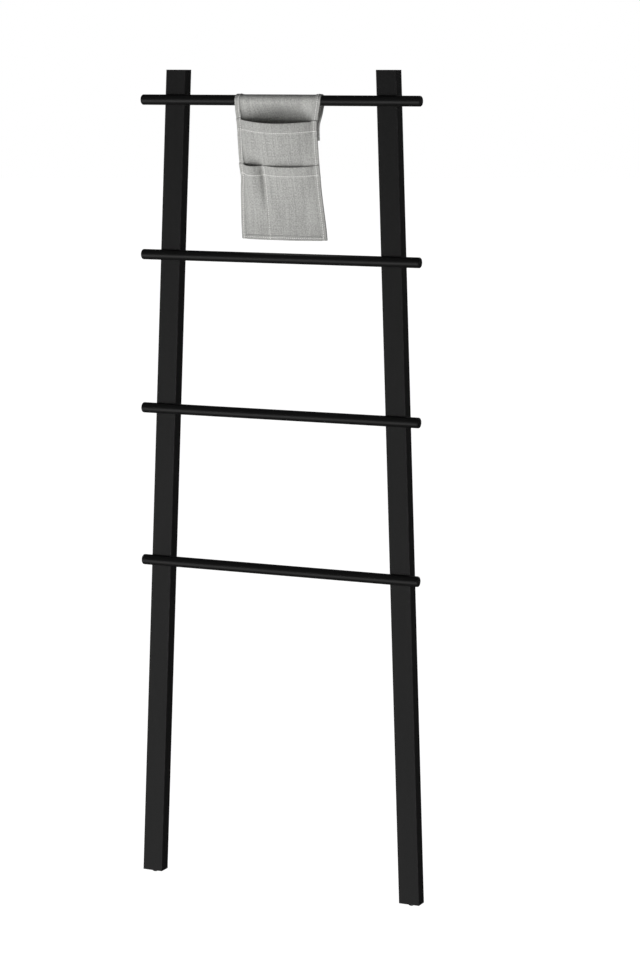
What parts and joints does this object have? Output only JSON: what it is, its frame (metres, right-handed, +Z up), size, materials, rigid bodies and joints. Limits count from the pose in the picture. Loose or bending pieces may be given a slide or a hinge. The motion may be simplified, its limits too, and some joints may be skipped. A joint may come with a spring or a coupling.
{
  "type": "ladder towel rack",
  "caption": "Leaning ladder rack for towels: flat side rails, round rungs across their fronts, domed feet, and a cloth pocket organiser looped over the top rung.",
  "frame": {"origin": "on the floor, midway between the two feet, under the rung axes", "axes": "+Z up along the ladder, +X along the rungs to the right as seen from the front, +Y towards the wall"},
  "size_m": [0.5998, 0.0566, 1.605],
  "materials": {
    "rail_paint": "satin black paint over solid wood",
    "rung_paint": "satin black paint over wood dowel",
    "bolt_steel": "zinc plated",
    "insert_brass": "plain",
    "foot_nylon": "matt black nylon",
    "pad_rubber": "matt",
    "organiser_cloth": "woven, light warm grey",
    "binding_tape": "woven tape, light warm grey",
    "stitch_thread": "off-white thread"
  },
  "bodies": {
    "ladder": {"left_rail": "rail_paint", "right_rail": "rail_paint", "top_rung": "rung_paint", "second_rung": "rung_paint", "third_rung": "rung_paint", "bottom_rung": "rung_paint", "rung_bolts": "bolt_steel", "bolt_washers": "bolt_steel", "rung_inserts": "insert_brass", "left_foot": "foot_nylon", "right_foot": "foot_nylon", "foot_nails": "bolt_steel", "left_wall_pad": "pad_rubber", "right_wall_pad": "pad_rubber"},
    "loop": {"hanging_loop": "organiser_cloth"},
    "organiser": {"back_panel": "organiser_cloth", "rear_flap": "organiser_cloth", "top_pocket": "organiser_cloth", "lower_pockets": "organiser_cloth", "left_binding": "binding_tape", "right_binding": "binding_tape", "bottom_binding": "binding_tape"}
  },
  "joints": [
    {"name": "organiser_slide", "type": "slide", "parent": "ladder", "child": "loop", "axis": [1, 0, 0], "range_m": [-0.11, 0.11]},
    {"name": "organiser_swing", "type": "hinge", "parent": "loop", "child": "organiser", "pos_m": [0, 0, 1.5464], "axis": [-1, 0, 0], "range_deg": [-8, 60]}
  ]
}
